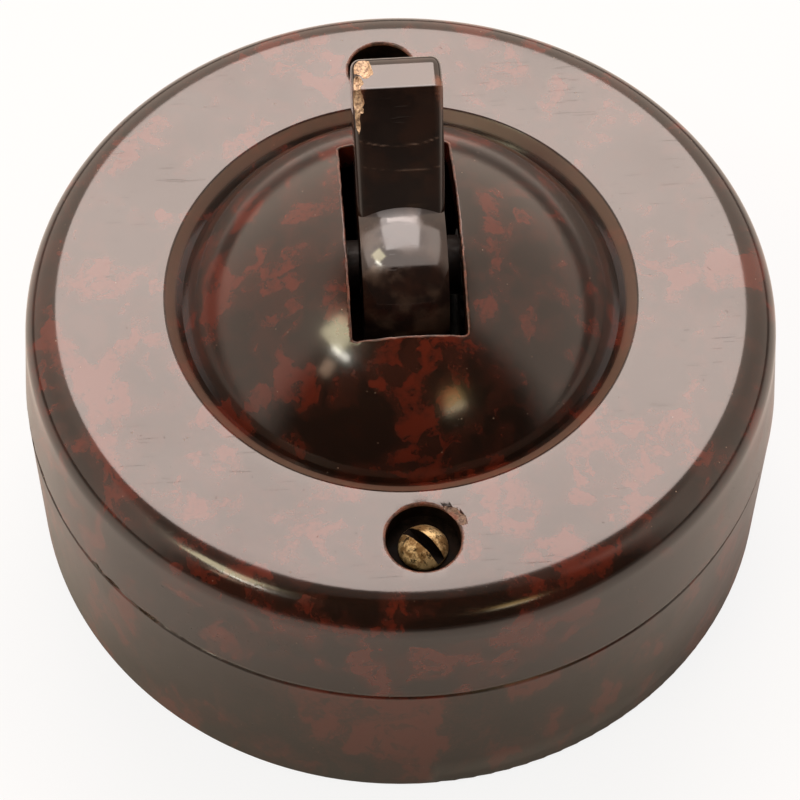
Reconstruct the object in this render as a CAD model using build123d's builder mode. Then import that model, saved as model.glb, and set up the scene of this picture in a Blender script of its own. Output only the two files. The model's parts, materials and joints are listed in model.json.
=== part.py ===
"""Round surface-mounting toggle wall switch: a moulded cover and base, a dolly and the tumbler works.

Millimetres. The origin is the centre of the base's back face and +Z points away from the wall. The dolly
swings along Y, and is built thrown towards +Y, which is the switch's off position.
"""

import os
from math import cos, radians, sin

from build123d import *

# Standard sizes
COVER_SCREW_CENTRES = 50.8  # 2 in, the spacing of round conduit boxes
WALL_SCREW_CENTRES = 38.1  # 1.5 in
SCREW_R = 1.4  # a 6 BA screw
SCREW_TIP_CHAMFER = 0.3
SCREW_HOLE_GAP = 0.1
THREAD_GAP = 0.02

# Base
BASE_R = 35.0
SEAM_R = 34.5
SEAM_Z = 17.4
FLOOR = 4.0
WALL_INNER_R = 30.8
LIP_R = 32.0
LIP_HEIGHT = 1.9
SEAM_CHAMFER = 0.3
FOOT_ROUND = 0.6
PILLAR_R = 4.6
PILLAR_TOP = 20.2
INSERT_R = 2.4
INSERT_BOTTOM = 9.0
SCREW_HOLE_BOTTOM = 7.0
CABLE_HOLE_R = 5.2
CABLE_HOLE_Y = -14.6
WALL_HOLE_R = 2.25
WALL_BOSS_R = 5.0
WALL_BOSS_TOP = 5.5
BARRIER_THICKNESS = 1.6
BARRIER_START = 12.0
BARRIER_TOP = 17.0
WEB_WIDTH = 4.0
WEB_OVERLAP = 0.8  # how far a web runs into the wall
PAD_MARGIN = 0.8
PAD_REACH = 3.0  # how far a terminal's pad runs on towards the middle
PLATFORM_MARGIN = 1.0
PLATFORM_END_MARGIN = 0.3

# Cover
RING_Z = 28.8
RING_THICKNESS = 3.2
RING_CORNER_R = 33.1
RING_EDGE_ROUND = 3.2
COVER_INNER_R = 31.2
INNER_CHAMFER = 1.2
LAP_GAP = 0.15
GROOVE_R = 20.96
GROOVE_DEPTH = 1.7  # where the groove's flank meets the dome
DOME_R = 22.1
DOME_APEX = 39.7
DOME_THICKNESS = 2.5
SLOT_LENGTH = 20.8
SLOT_WIDTH = 9.7
SLOT_CORNER_R = 0.4
HEAD_RECESS_R = 3.15
HEAD_SEAT_Z = 26.9
COVER_BOSS_R = 4.7
COVER_BOSS_END = 20.4
BOSS_OVERLAP = 0.5
CLEARANCE_R = 1.6

# Cover screws
ROUND_HEAD_R = 2.1
ROUND_HEAD_HEIGHT = 1.6
ROUND_HEAD_CROWN = 1.3
COVER_SCREW_LENGTH = 17.1
COVER_SLOT_WIDTH = 1.0
COVER_SLOT_DEPTH = 0.85
COVER_SLOT_ANGLE = -48

# Dolly
PIVOT_Z = 31.8
DOLLY_TILT = 25
HUB_R = 8.0  # the hub is a ball with two flats
HUB_WIDTH = 7.3
LEVER_WIDTH = 7.5
LEVER_THICKNESS = 6.0
LEVER_FRONT_END = 18.5
LEVER_BACK_END = 16.9
LEVER_NOSE = (0.15, 19.75)  # where the bevel in front and the slope behind would meet
NOSE_ROUND = 1.9
NOSE_BACK_ROUND = 1.0
LEVER_EDGE_ROUND = 0.8
PIN_R = 1.25
RUNNING_GAP = 0.05
SPACER_R = 2.6
SPACER_GAP = 0.1

# Plunger and its spring, measured from the dolly's pivot down the bore
BORE_R = 2.38
BORE_START = 2.2
PLUNGER_R = 2.3
PLUNGER_START = 4.3
NOSE_START = 9.6
TIP_CENTRE = 13.0
TIP_R = 1.5
TIP_NECK = 0.7
CUP_R = 1.65
CUP_END = 10.0
COIL_R = 1.3
WIRE_R = 0.2
COIL_PITCH = 0.85
COIL_END_GAP = 0.25

# Bridge
PLATFORM_Z = 7.0
BRIDGE_THICKNESS = 1.2
CHEEK_GAP = 5.0  # half the space between the cheeks
CHEEK_FOOT = 6.0  # half a cheek's width at its foot
CHEEK_SHOULDER = 4.0  # how far above the rocker's pin a cheek starts to taper
CHEEK_TOP_R = 3.1
BRIDGE_FOOT = 8.5
BRIDGE_SCREW_Y = 5.0
PIN_HEAD_R = 1.9
PIN_HEAD = 0.6

# Rocker
ROCKER_Z = 14.0
ROCKER_TILT = DOLLY_TILT / 2
ROCKER_HALF_LENGTH = 7.5
ROCKER_HALF_WIDTH = 4.7
ROCKER_BOTTOM = -4.1
ROCKER_TOP = 7.2
SADDLE_R = 6.35
SADDLE_CENTRE = 9.56

# Contacts and terminals
CONTACT_X = 10.5
BLADE_THICKNESS = 1.0
BLADE_REACH = 14.2
BLADE_TOP = 1.8
BLADE_BOTTOM = -4.0
BAR_THICKNESS = 0.9
BAR_BOTTOM = -3.2
SLOPE_START = 1.6  # where the blade's lower edge starts to slope, beyond the rocker's end
SLOPE_END = 2.4
RIVET_X = 2.6
RIVET_Z = -0.7
RIVET_R = 0.8
RIVET_HEAD_R = 1.3
RIVET_HEAD = 0.6
RIVET_DEPTH = 3.0
PAD_Z = 5.0
CLIP_THICKNESS = 0.8
CLIP_LEAF = 0.7
CLIP_GAP = 0.55  # half the space between a clip's two leaves
CLIP_TOP = 10.0
CLIP_Y = (10.5, 15.5)
TERMINAL_X = 16.0
TERMINAL_Y = 13.0
TERMINAL_WIDTH = 7.4
TERMINAL_LENGTH = 8.0
TERMINAL_HEIGHT = 9.0
TERMINAL_CHAMFER = 0.4
WIRE_HOLE_R = 1.8
WIRE_HOLE_Z = 11.2
CHEESE_HEAD_R = 2.4
CHEESE_HEAD = 1.8
CHEESE_HEAD_CROWN = 0.3
DRIVER_SLOT_WIDTH = 0.7
DRIVER_SLOT_DEPTH = 0.85
TERMINAL_SCREW_LENGTH = 3.5
TERMINAL_SCREW_SEAT = 16.0
FLAT_HEAD_R = 2.7
FLAT_HEAD = 1.4
FLAT_HEAD_SLOT_DEPTH = 0.6
FIXING_THREAD = 4.0  # how far a fixing screw stands up into its terminal
SEAL_DEPTH = 1.0

COVER_SCREW_Y = COVER_SCREW_CENTRES / 2
WALL_SCREW_X = WALL_SCREW_CENTRES / 2
DOME_CENTRE_Z = DOME_APEX - DOME_R
CHEEK_X = CHEEK_GAP + BRIDGE_THICKNESS / 2
THREAD_R = SCREW_R + THREAD_GAP
SIDES = (-1, 1)
STANDING = (Align.CENTER, Align.CENTER, Align.MIN)

# Planes that tilt with the dolly and the rocker. In the side planes, x is along the swing and y up the piece
LEVER_DIRECTION = (0, sin(radians(DOLLY_TILT)), cos(radians(DOLLY_TILT)))
dolly_side = Plane(
    origin=(0, 0, PIVOT_Z),
    x_dir=(0, cos(radians(DOLLY_TILT)), -sin(radians(DOLLY_TILT))),
    z_dir=(1, 0, 0),
)
dolly_front = Plane(
    origin=(0, 0, PIVOT_Z),
    x_dir=(1, 0, 0),
    z_dir=(0, -cos(radians(DOLLY_TILT)), sin(radians(DOLLY_TILT))),
)
bore_axis = Axis((0, 0, PIVOT_Z), LEVER_DIRECTION)
rocker_side = Plane(
    origin=(0, 0, ROCKER_Z),
    x_dir=(0, cos(radians(ROCKER_TILT)), sin(radians(ROCKER_TILT))),
    z_dir=(1, 0, 0),
)
rocker_end = Plane(
    origin=rocker_side.from_local_coords((ROCKER_HALF_LENGTH, 0, 0)),
    x_dir=(1, 0, 0),
    z_dir=(0, -cos(radians(ROCKER_TILT)), -sin(radians(ROCKER_TILT))),
)


def finish_piece(piece, name):
    """Labels a finished piece and writes it to its own file."""
    piece.label = name
    export_step(piece, f"parts/{name}.step")


def slotted_screw(head_r, head_height, crown, shank_length, slot_width, slot_depth, slot_angle=0):
    """A slotted screw that stands on the origin by the underside of its head, with its shank down -Z."""
    with BuildPart() as screw:
        with BuildSketch(Plane.XZ):
            with BuildLine():
                rim = head_height - crown
                Polyline(
                    (0, head_height),
                    (0, -shank_length),
                    (SCREW_R - SCREW_TIP_CHAMFER, -shank_length),
                    (SCREW_R, -shank_length + SCREW_TIP_CHAMFER),
                    (SCREW_R, 0),
                    (head_r, 0),
                    (head_r, rim),
                )
                ThreePointArc(
                    (head_r, rim),
                    (head_r * 0.6, rim + crown * 0.72),
                    (0, head_height),
                )
            make_face()
        revolve(axis=Axis.Z)
        with Locations(Location((0, 0, head_height), (0, 0, slot_angle))):
            Box(3 * head_r, slot_width, 2 * slot_depth, mode=Mode.SUBTRACT)
    return screw.part


def countersunk_screw(head_z, tip_z):
    """A screw driven up from the back of the base, its flat head flush at head_z."""
    with BuildPart() as screw:
        with Locations((0, 0, head_z)):
            Cone(FLAT_HEAD_R - SCREW_HOLE_GAP, SCREW_R, FLAT_HEAD, align=STANDING)
            Cylinder(SCREW_R, tip_z - head_z, align=STANDING)
            Box(
                3 * FLAT_HEAD_R,
                DRIVER_SLOT_WIDTH,
                2 * FLAT_HEAD_SLOT_DEPTH,
                mode=Mode.SUBTRACT,
            )
    return screw.part


def headed_pin(z):
    """A pin along X at height z, headed over outside both cheeks of the bridge."""
    outside = CHEEK_GAP + BRIDGE_THICKNESS
    with BuildPart() as pin:
        with BuildSketch(Plane.YZ):
            with Locations((0, z)):
                Circle(PIN_R)
        extrude(amount=outside + PIN_HEAD, both=True)
        for side in SIDES:
            with BuildSketch(Plane.YZ.offset(side * outside)):
                with Locations((0, z)):
                    Circle(PIN_HEAD_R)
            extrude(amount=side * PIN_HEAD)
    return pin.part


def make_base():
    """The moulded base: floor, wall with a locating lip, pillars, terminal pads, barrier and holes."""
    with BuildPart() as base:
        with BuildSketch(Plane.XZ) as profile:
            with BuildLine():
                Polyline(
                    (0, 0),
                    (BASE_R, 0),
                    (SEAM_R, SEAM_Z - SEAM_CHAMFER),
                    (SEAM_R - SEAM_CHAMFER, SEAM_Z),
                    (LIP_R, SEAM_Z),
                    (LIP_R, SEAM_Z + LIP_HEIGHT),
                    (WALL_INNER_R, SEAM_Z + LIP_HEIGHT),
                    (WALL_INNER_R, FLOOR),
                    (0, FLOOR),
                    close=True,
                )
            make_face()
            foot = profile.vertices().sort_by_distance((BASE_R, 0, 0))[0]
            fillet(foot, FOOT_ROUND)
        revolve(axis=Axis.Z)
        # Pillars for the cover screws, joined to the wall by webs
        web = WALL_INNER_R + WEB_OVERLAP - COVER_SCREW_Y
        for end in SIDES:
            with Locations((0, end * COVER_SCREW_Y, 0)):
                Cylinder(PILLAR_R, PILLAR_TOP, align=STANDING)
            with Locations((0, end * (COVER_SCREW_Y + web / 2), 0)):
                Box(WEB_WIDTH, web, SEAM_Z, align=STANDING)
        # Platform under the bridge, pads under the terminals, bosses round the wall screws
        Box(
            2 * (CHEEK_GAP + BRIDGE_THICKNESS + PLATFORM_MARGIN),
            2 * (BRIDGE_FOOT + PLATFORM_END_MARGIN),
            PLATFORM_Z,
            align=STANDING,
        )
        for side in SIDES:
            with Locations((side * (TERMINAL_X - PAD_REACH / 2), TERMINAL_Y, 0)):
                Box(
                    TERMINAL_WIDTH + 2 * PAD_MARGIN + PAD_REACH,
                    TERMINAL_LENGTH + PAD_MARGIN,
                    PAD_Z,
                    align=STANDING,
                )
            with Locations((side * WALL_SCREW_X, 0, 0)):
                Cylinder(WALL_BOSS_R, WALL_BOSS_TOP, align=STANDING)
        # Barrier between the two poles
        with Locations((0, (BARRIER_START + COVER_SCREW_Y) / 2, 0)):
            Box(BARRIER_THICKNESS, COVER_SCREW_Y - BARRIER_START, BARRIER_TOP, align=STANDING)
        # Sockets for the inserts, the cable entry, the wall screw holes and the holes of the screws behind
        with Locations((0, COVER_SCREW_Y, PILLAR_TOP), (0, -COVER_SCREW_Y, PILLAR_TOP)):
            CounterBoreHole(
                SCREW_R,
                INSERT_R,
                PILLAR_TOP - INSERT_BOTTOM,
                depth=PILLAR_TOP - SCREW_HOLE_BOTTOM,
            )
        with Locations((0, CABLE_HOLE_Y, FLOOR)):
            Hole(CABLE_HOLE_R, depth=FLOOR)
        for side in SIDES:
            with Locations((side * WALL_SCREW_X, 0, WALL_BOSS_TOP)):
                Hole(WALL_HOLE_R, depth=WALL_BOSS_TOP)
        back = Plane(origin=(0, 0, 0), x_dir=(1, 0, 0), z_dir=(0, 0, -1))
        with Locations(back):
            with Locations((0, BRIDGE_SCREW_Y), (0, -BRIDGE_SCREW_Y)):
                CounterSinkHole(SCREW_R + SCREW_HOLE_GAP, FLAT_HEAD_R, depth=PLATFORM_Z)
            with Locations((TERMINAL_X, -TERMINAL_Y), (-TERMINAL_X, -TERMINAL_Y)):
                Hole(FLAT_HEAD_R + SCREW_HOLE_GAP, depth=SEAL_DEPTH)
        with Locations(back.offset(-SEAL_DEPTH)):
            with Locations((TERMINAL_X, -TERMINAL_Y), (-TERMINAL_X, -TERMINAL_Y)):
                CounterSinkHole(
                    SCREW_R + SCREW_HOLE_GAP, FLAT_HEAD_R, depth=PAD_Z - SEAL_DEPTH
                )
    return base.part


def make_cover():
    """The moulded cover: skirt, flat ring, cove and dome, with the dolly's slot and two screw bosses."""
    dome_foot_z = RING_Z - GROOVE_DEPTH
    dome_foot_r = (DOME_R**2 - (dome_foot_z - DOME_CENTRE_Z) ** 2) ** 0.5
    inner_dome_r = DOME_R - DOME_THICKNESS
    under_ring = RING_Z - RING_THICKNESS
    inner_foot_r = (inner_dome_r**2 - (under_ring - DOME_CENTRE_Z) ** 2) ** 0.5
    lap_r = LIP_R + LAP_GAP
    lap_z = SEAM_Z + LIP_HEIGHT + LAP_GAP
    with BuildPart() as cover:
        with BuildSketch(Plane.XZ) as profile:
            with BuildLine():
                Polyline(
                    (lap_r, SEAM_Z),
                    (SEAM_R - SEAM_CHAMFER, SEAM_Z),
                    (SEAM_R, SEAM_Z + SEAM_CHAMFER),
                    (RING_CORNER_R, RING_Z),
                    (GROOVE_R, RING_Z),
                    (dome_foot_r, dome_foot_z),
                )
                RadiusArc(
                    (dome_foot_r, dome_foot_z), (0, DOME_APEX), -DOME_R
                )
                Line((0, DOME_APEX), (0, DOME_APEX - DOME_THICKNESS))
                RadiusArc(
                    (0, DOME_APEX - DOME_THICKNESS),
                    (inner_foot_r, under_ring),
                    inner_dome_r,
                )
                Polyline(
                    (inner_foot_r, under_ring),
                    (COVER_INNER_R - INNER_CHAMFER, under_ring),
                    (COVER_INNER_R, under_ring - INNER_CHAMFER),
                    (COVER_INNER_R, lap_z),
                    (lap_r, lap_z),
                    (lap_r, SEAM_Z),
                )
            make_face()
            edge = profile.vertices().sort_by_distance((RING_CORNER_R, RING_Z, 0))[0]
            fillet(edge, RING_EDGE_ROUND)
        revolve(axis=Axis.Z)
        for end in SIDES:
            boss_height = under_ring - COVER_BOSS_END + BOSS_OVERLAP
            with Locations((0, end * COVER_SCREW_Y, COVER_BOSS_END + boss_height / 2)):
                Cylinder(COVER_BOSS_R, boss_height)
            web = COVER_INNER_R + WEB_OVERLAP - COVER_SCREW_Y
            with Locations(
                (
                    0,
                    end * (COVER_SCREW_Y + web / 2),
                    COVER_BOSS_END + boss_height / 2,
                )
            ):
                Box(WEB_WIDTH, web, boss_height)
            with Locations((0, end * COVER_SCREW_Y, RING_Z)):
                CounterBoreHole(
                    CLEARANCE_R,
                    HEAD_RECESS_R,
                    RING_Z - HEAD_SEAT_Z,
                    depth=RING_Z - COVER_BOSS_END,
                )
        with BuildSketch(Plane.XY.offset(DOME_APEX)):
            RectangleRounded(SLOT_WIDTH, SLOT_LENGTH, SLOT_CORNER_R)
        extrude(amount=RING_Z - DOME_APEX, mode=Mode.SUBTRACT)
    return cover.part


def make_dolly():
    """The dolly: a lever on a round hub, bored for its pin and, from below, for the plunger."""
    half = LEVER_THICKNESS / 2
    with BuildPart() as dolly:
        with BuildSketch(dolly_side):
            with BuildLine():
                FilletPolyline(
                    (half, 0),
                    (half, LEVER_BACK_END),
                    LEVER_NOSE,
                    (-half, LEVER_FRONT_END),
                    radius=[NOSE_BACK_ROUND, NOSE_ROUND],
                )
                Polyline((-half, LEVER_FRONT_END), (-half, 0), (half, 0))
            make_face()
        extrude(amount=LEVER_WIDTH / 2, both=True)
        outline = dolly.faces().filter_by(Axis.X).edges()
        fillet(outline.filter_by_position(bore_axis, 0.1, 2 * LEVER_BACK_END), LEVER_EDGE_ROUND)
        with BuildPart(mode=Mode.PRIVATE) as hub:
            with Locations((0, 0, PIVOT_Z)):
                Sphere(HUB_R)
                Box(HUB_WIDTH, 2 * HUB_R, 2 * HUB_R, mode=Mode.INTERSECT)
        add(hub.part)
        with BuildSketch(dolly_side):
            Circle(PIN_R + RUNNING_GAP)
        extrude(amount=LEVER_WIDTH, both=True, mode=Mode.SUBTRACT)
        bore = Plane(
            origin=dolly_side.from_local_coords((0, -BORE_START, 0)),
            x_dir=(1, 0, 0),
            z_dir=tuple(-part for part in LEVER_DIRECTION),
        )
        with BuildSketch(bore):
            Circle(BORE_R)
        extrude(amount=HUB_R, mode=Mode.SUBTRACT)
    return dolly.part


def make_plunger():
    """The hollow plunger: a cup that slides in the dolly and ends in a rounded nose."""
    with BuildPart() as plunger:
        with BuildSketch(dolly_front):
            with BuildLine():
                Polyline(
                    (0, -CUP_END),
                    (CUP_R, -CUP_END),
                    (CUP_R, -PLUNGER_START),
                    (PLUNGER_R, -PLUNGER_START),
                    (PLUNGER_R, -NOSE_START),
                    (TIP_R, -TIP_CENTRE + TIP_NECK),
                    (TIP_R, -TIP_CENTRE),
                )
                RadiusArc(
                    (TIP_R, -TIP_CENTRE), (0, -TIP_CENTRE - TIP_R), TIP_R
                )
                Line((0, -TIP_CENTRE - TIP_R), (0, -CUP_END))
            make_face()
        revolve(axis=bore_axis)
    return plunger.part


def make_spring():
    """The plunger's coil spring, from the end of the dolly's bore to the bottom of the plunger's cup."""
    length = CUP_END - BORE_START - 2 * COIL_END_GAP
    start = dolly_side.from_local_coords((0, -(CUP_END - COIL_END_GAP), 0))
    with BuildPart() as spring:
        with BuildLine():
            coil = Helix(COIL_PITCH, length, COIL_R, center=start, direction=LEVER_DIRECTION)
        with BuildSketch(Plane(origin=coil @ 0, z_dir=coil % 0)):
            Circle(WIRE_R)
        sweep()
    return spring.part


def make_bridge():
    """The bent strip that carries both pins: a plate with an upright cheek each side."""
    with BuildPart() as bridge:
        with Locations((0, 0, PLATFORM_Z)):
            Box(
                2 * (CHEEK_GAP + BRIDGE_THICKNESS),
                2 * BRIDGE_FOOT,
                BRIDGE_THICKNESS,
                align=STANDING,
            )
        with BuildSketch(Plane.YZ.offset(CHEEK_GAP)):
            with BuildLine():
                shoulder = ROCKER_Z + CHEEK_SHOULDER
                Polyline(
                    (-CHEEK_TOP_R, PIVOT_Z),
                    (-CHEEK_FOOT, shoulder),
                    (-CHEEK_FOOT, PLATFORM_Z),
                    (CHEEK_FOOT, PLATFORM_Z),
                    (CHEEK_FOOT, shoulder),
                    (CHEEK_TOP_R, PIVOT_Z),
                )
                ThreePointArc(
                    (CHEEK_TOP_R, PIVOT_Z),
                    (0, PIVOT_Z + CHEEK_TOP_R),
                    (-CHEEK_TOP_R, PIVOT_Z),
                )
            make_face()
            with Locations((0, PIVOT_Z), (0, ROCKER_Z)):
                Circle(PIN_R + THREAD_GAP, mode=Mode.SUBTRACT)
        extrude(amount=BRIDGE_THICKNESS)
        mirror(about=Plane.YZ)
        with Locations(
            (0, BRIDGE_SCREW_Y, PLATFORM_Z + BRIDGE_THICKNESS),
            (0, -BRIDGE_SCREW_Y, PLATFORM_Z + BRIDGE_THICKNESS),
        ):
            Hole(THREAD_R, depth=BRIDGE_THICKNESS)
    return bridge.part


def make_spacers():
    """Two spacers on the dolly's pin that keep the narrow hub midway between the cheeks."""
    inner = HUB_WIDTH / 2 + SPACER_GAP
    with BuildPart() as spacers:
        for side in SIDES:
            with BuildSketch(Plane.YZ.offset(side * inner)):
                with Locations((0, PIVOT_Z)):
                    Circle(SPACER_R)
                    Circle(PIN_R + THREAD_GAP, mode=Mode.SUBTRACT)
            extrude(amount=side * (CHEEK_GAP - inner))
    return spacers.part


def make_rocker():
    """The insulating rocker: a block with a rounded saddle that the plunger's nose presses into."""
    with BuildPart() as rocker:
        with BuildSketch(rocker_side):
            with BuildLine():
                Polyline(
                    (-ROCKER_HALF_LENGTH, ROCKER_BOTTOM),
                    (ROCKER_HALF_LENGTH, ROCKER_BOTTOM),
                    (ROCKER_HALF_LENGTH, ROCKER_TOP),
                    (-ROCKER_HALF_LENGTH, ROCKER_TOP),
                    close=True,
                )
            make_face()
            with Locations((0, SADDLE_CENTRE)):
                Circle(SADDLE_R, mode=Mode.SUBTRACT)
            Circle(PIN_R + RUNNING_GAP, mode=Mode.SUBTRACT)
        extrude(amount=ROCKER_HALF_WIDTH, both=True)
        with BuildSketch(rocker_end):
            with Locations((RIVET_X, RIVET_Z), (-RIVET_X, RIVET_Z)):
                Circle(RIVET_R)
        extrude(amount=RIVET_DEPTH, mode=Mode.SUBTRACT)
    return rocker.part


def make_moving_contact():
    """The bridging contact: a bar across the rocker's end with a blade on each side."""
    outer = CONTACT_X + BLADE_THICKNESS / 2
    with BuildPart() as contact:
        with BuildSketch(rocker_side.offset(-outer)):
            with BuildLine():
                Polyline(
                    (ROCKER_HALF_LENGTH, BLADE_TOP),
                    (ROCKER_HALF_LENGTH, BAR_BOTTOM),
                    (ROCKER_HALF_LENGTH + SLOPE_START, BAR_BOTTOM),
                    (ROCKER_HALF_LENGTH + SLOPE_END, BLADE_BOTTOM),
                    (BLADE_REACH, BLADE_BOTTOM),
                    (BLADE_REACH, BLADE_TOP),
                    close=True,
                )
            make_face()
        extrude(amount=2 * outer)
        with BuildSketch(rocker_side.offset(-(outer - BLADE_THICKNESS))):
            with Locations((ROCKER_HALF_LENGTH + BAR_THICKNESS, 0)):
                Rectangle(BLADE_REACH, 2 * BLADE_REACH, align=(Align.MIN, Align.CENTER))
        extrude(amount=2 * (outer - BLADE_THICKNESS), mode=Mode.SUBTRACT)
        with BuildSketch(rocker_end):
            with Locations((RIVET_X, RIVET_Z), (-RIVET_X, RIVET_Z)):
                Circle(RIVET_R)
        extrude(amount=-BAR_THICKNESS, mode=Mode.SUBTRACT)
    return contact.part


def make_rivets():
    """Two rivets that hold the moving contact's bar to the rocker."""
    with BuildPart() as rivets:
        with BuildSketch(rocker_end.offset(-BAR_THICKNESS)):
            with Locations((RIVET_X, RIVET_Z), (-RIVET_X, RIVET_Z)):
                Circle(RIVET_HEAD_R)
        extrude(amount=-RIVET_HEAD)
        with BuildSketch(rocker_end.offset(-BAR_THICKNESS)):
            with Locations((RIVET_X, RIVET_Z), (-RIVET_X, RIVET_Z)):
                Circle(RIVET_R)
        extrude(amount=BAR_THICKNESS + RIVET_DEPTH)
    return rivets.part


def make_clip(side):
    """A fixed contact: a strip under the terminal, with two leaves that the moving blade enters."""
    low, high = CLIP_Y
    inner_edge = CONTACT_X - CLIP_GAP - CLIP_LEAF
    outer_edge = TERMINAL_X + TERMINAL_WIDTH / 2
    with BuildPart() as clip:
        with Locations(((inner_edge + outer_edge) / 2, (low + high) / 2, PAD_Z)):
            Box(
                outer_edge - inner_edge,
                high - low,
                CLIP_THICKNESS,
                align=STANDING,
            )
        for leaf_x in (inner_edge, CONTACT_X + CLIP_GAP):
            with Locations((leaf_x, (low + high) / 2, PAD_Z)):
                Box(
                    CLIP_LEAF,
                    high - low,
                    CLIP_TOP - PAD_Z,
                    align=(Align.MIN, Align.CENTER, Align.MIN),
                )
        with Locations((TERMINAL_X, TERMINAL_Y, PAD_Z + CLIP_THICKNESS)):
            Hole(SCREW_R + SCREW_HOLE_GAP, depth=CLIP_THICKNESS)
        if side < 0:
            mirror(about=Plane.YZ, mode=Mode.REPLACE)
    return clip.part


def make_terminal(side):
    """A brass terminal block, tapped from above and below, with a wire hole along Y."""
    bottom = PAD_Z + CLIP_THICKNESS
    with BuildPart() as terminal:
        with Locations((side * TERMINAL_X, TERMINAL_Y, bottom)):
            Box(
                TERMINAL_WIDTH,
                TERMINAL_LENGTH,
                TERMINAL_HEIGHT,
                align=STANDING,
            )
        chamfer(terminal.faces().sort_by(Axis.Z)[-1].edges(), TERMINAL_CHAMFER)
        with Locations((side * TERMINAL_X, TERMINAL_Y, bottom + TERMINAL_HEIGHT)):
            Hole(THREAD_R, depth=TERMINAL_HEIGHT)
        with BuildSketch(Plane.XZ.offset(-TERMINAL_Y)):
            with Locations((side * TERMINAL_X, WIRE_HOLE_Z)):
                Circle(WIRE_HOLE_R)
        extrude(amount=TERMINAL_LENGTH, both=True, mode=Mode.SUBTRACT)
    return terminal.part


def make_seals():
    """Discs of pitch that seal the live screw heads in the back of the base."""
    with BuildPart() as seals:
        with Locations(
            (TERMINAL_X, TERMINAL_Y, SEAL_DEPTH / 2),
            (-TERMINAL_X, TERMINAL_Y, SEAL_DEPTH / 2),
        ):
            Cylinder(FLAT_HEAD_R + SCREW_HOLE_GAP, SEAL_DEPTH)
    return seals.part


def make_inserts():
    """Threaded brass inserts moulded into the pillars for the cover screws."""
    with BuildPart() as inserts:
        with Locations((0, COVER_SCREW_Y, PILLAR_TOP), (0, -COVER_SCREW_Y, PILLAR_TOP)):
            Cylinder(
                INSERT_R,
                PILLAR_TOP - INSERT_BOTTOM,
                align=(Align.CENTER, Align.CENTER, Align.MAX),
            )
            Hole(THREAD_R, depth=PILLAR_TOP - INSERT_BOTTOM)
    return inserts.part


def placed(piece, *places):
    """One node that holds a copy of the piece at each place."""
    with BuildPart() as group:
        with Locations(*places):
            add(piece)
    return group.part


os.makedirs("parts", exist_ok=True)

finish_piece(make_base(), "base")
finish_piece(make_cover(), "cover")
finish_piece(make_dolly(), "dolly")
finish_piece(make_plunger(), "plunger")
finish_piece(make_spring(), "plunger_spring")
finish_piece(make_bridge(), "bridge")
finish_piece(make_spacers(), "dolly_spacers")
finish_piece(headed_pin(PIVOT_Z), "dolly_pin")
finish_piece(headed_pin(ROCKER_Z), "rocker_pin")
finish_piece(make_rocker(), "rocker")
finish_piece(make_moving_contact(), "moving_contact")
finish_piece(make_rivets(), "contact_rivets")
finish_piece(make_clip(-1), "contact_clip_left")
finish_piece(make_clip(1), "contact_clip_right")
finish_piece(make_terminal(-1), "terminal_left")
finish_piece(make_terminal(1), "terminal_right")
finish_piece(make_seals(), "pitch_seals")
finish_piece(make_inserts(), "cover_inserts")
finish_piece(
    placed(
        slotted_screw(
            ROUND_HEAD_R,
            ROUND_HEAD_HEIGHT,
            ROUND_HEAD_CROWN,
            COVER_SCREW_LENGTH,
            COVER_SLOT_WIDTH,
            COVER_SLOT_DEPTH,
            COVER_SLOT_ANGLE,
        ),
        (0, COVER_SCREW_Y, HEAD_SEAT_Z),
        (0, -COVER_SCREW_Y, HEAD_SEAT_Z),
    ),
    "cover_screws",
)
finish_piece(
    placed(
        slotted_screw(
            CHEESE_HEAD_R,
            CHEESE_HEAD,
            CHEESE_HEAD_CROWN,
            TERMINAL_SCREW_LENGTH,
            DRIVER_SLOT_WIDTH,
            DRIVER_SLOT_DEPTH,
        ),
        (TERMINAL_X, TERMINAL_Y, TERMINAL_SCREW_SEAT),
        (-TERMINAL_X, TERMINAL_Y, TERMINAL_SCREW_SEAT),
    ),
    "terminal_screws",
)
finish_piece(
    placed(
        countersunk_screw(SEAL_DEPTH, PAD_Z + FIXING_THREAD),
        (TERMINAL_X, TERMINAL_Y, 0),
        (-TERMINAL_X, TERMINAL_Y, 0),
    ),
    "terminal_fixings",
)
finish_piece(
    placed(
        countersunk_screw(SCREW_HOLE_GAP, PLATFORM_Z + BRIDGE_THICKNESS - SCREW_HOLE_GAP),
        (0, BRIDGE_SCREW_Y, 0),
        (0, -BRIDGE_SCREW_Y, 0),
    ),
    "bridge_screws",
)
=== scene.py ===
"""The round toggle wall switch: mottled cover and base, dark dolly, worn brass screws and the works inside.

Shapes are worked out in millimetres, in the frame of the CAD model, and their meshes are made in metres.
"""

import json
import math
import bmesh
import bpy
from mathutils import Euler, Matrix, Vector, noise


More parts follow.
